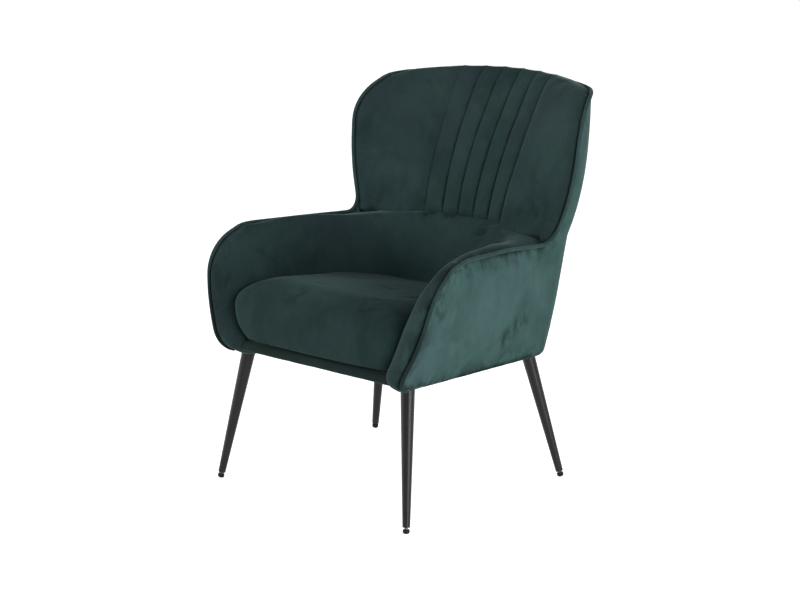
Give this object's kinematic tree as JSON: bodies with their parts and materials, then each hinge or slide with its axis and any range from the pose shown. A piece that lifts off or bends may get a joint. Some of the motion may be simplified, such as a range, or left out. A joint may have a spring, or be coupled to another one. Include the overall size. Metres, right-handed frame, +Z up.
{
  "type": "wingback armchair",
  "caption": "Upholstered wingback armchair in dark green velvet with a pleated back, flared arms, piped edges and splayed tapered metal legs with screw-in glides.",
  "frame": {"origin": "on the floor, under the middle of the chair's bounding box", "axes": "+X to the right as seen from the front, +Y from the front to the back, +Z up"},
  "size_m": [0.6666, 0.7157, 0.8818],
  "materials": {
    "velvet": "bottle-green velvet",
    "piping": "dark green velvet welt",
    "foam": "soft foam",
    "frame_wood": "raw plywood",
    "webbing": "woven strap",
    "dust_cloth": "thin black cloth",
    "leg_black": "satin black",
    "plate_steel": "satin black",
    "screw_steel": "zinc plated",
    "insert_steel": "zinc plated",
    "stem_steel": "bright thread",
    "glide_plastic": "matte black"
  },
  "bodies": {
    "chair": {"outer_side_cover_right": "velvet", "outer_side_cover_left": "velvet", "outer_back_cover": "velvet", "inner_arm_cover_right": "velvet", "inner_arm_cover_left": "velvet", "lumbar_cover": "velvet", "inner_back_cover": "velvet", "seat_cover": "velvet", "front_rail_cover": "velvet", "arm_toe_right": "velvet", "arm_toe_left": "velvet", "piping": "piping", "arm_foam_right": "foam", "arm_foam_left": "foam", "lumbar_foam": "foam", "back_foam": "foam", "seat_foam": "foam", "corner_post_right": "frame_wood", "corner_post_left": "frame_wood", "arm_panel_right": "frame_wood", "arm_panel_left": "frame_wood", "side_rail_right": "frame_wood", "side_rail_left": "frame_wood", "crest_rail": "frame_wood", "lumbar_rail": "frame_wood", "rear_rail": "frame_wood", "front_rail": "frame_wood", "rear_corner_blocks": "frame_wood", "front_corner_blocks": "frame_wood", "seat_webbing_lengthwise": "webbing", "seat_webbing_crosswise": "webbing", "back_webbing": "webbing", "dust_cover": "dust_cloth", "leg_front_right": "leg_black", "leg_front_left": "leg_black", "leg_rear_right": "leg_black", "leg_rear_left": "leg_black", "leg_plates": "plate_steel", "leg_screws": "screw_steel", "arm_panel_screws": "screw_steel", "leg_inserts": "insert_steel"},
    "glide_front_right": {"glide_stem_front_right": "stem_steel", "glide_pad_front_right": "glide_plastic"},
    "glide_front_left": {"glide_stem_front_left": "stem_steel", "glide_pad_front_left": "glide_plastic"},
    "glide_rear_right": {"glide_stem_rear_right": "stem_steel", "glide_pad_rear_right": "glide_plastic"},
    "glide_rear_left": {"glide_stem_rear_left": "stem_steel", "glide_pad_rear_left": "glide_plastic"}
  },
  "joints": [
    {"name": "glide_front_right_screw", "type": "slide", "parent": "chair", "child": "glide_front_right", "axis": [0.145, -0.1776, -0.9734], "range_m": [-0.003, 0.01]},
    {"name": "glide_front_left_screw", "type": "slide", "parent": "chair", "child": "glide_front_left", "axis": [-0.145, -0.1776, -0.9734], "range_m": [-0.003, 0.01]},
    {"name": "glide_rear_right_screw", "type": "slide", "parent": "chair", "child": "glide_rear_right", "axis": [0.2243, 0.1502, -0.9629], "range_m": [-0.003, 0.01]},
    {"name": "glide_rear_left_screw", "type": "slide", "parent": "chair", "child": "glide_rear_left", "axis": [-0.2243, 0.1502, -0.9629], "range_m": [-0.003, 0.01]}
  ]
}
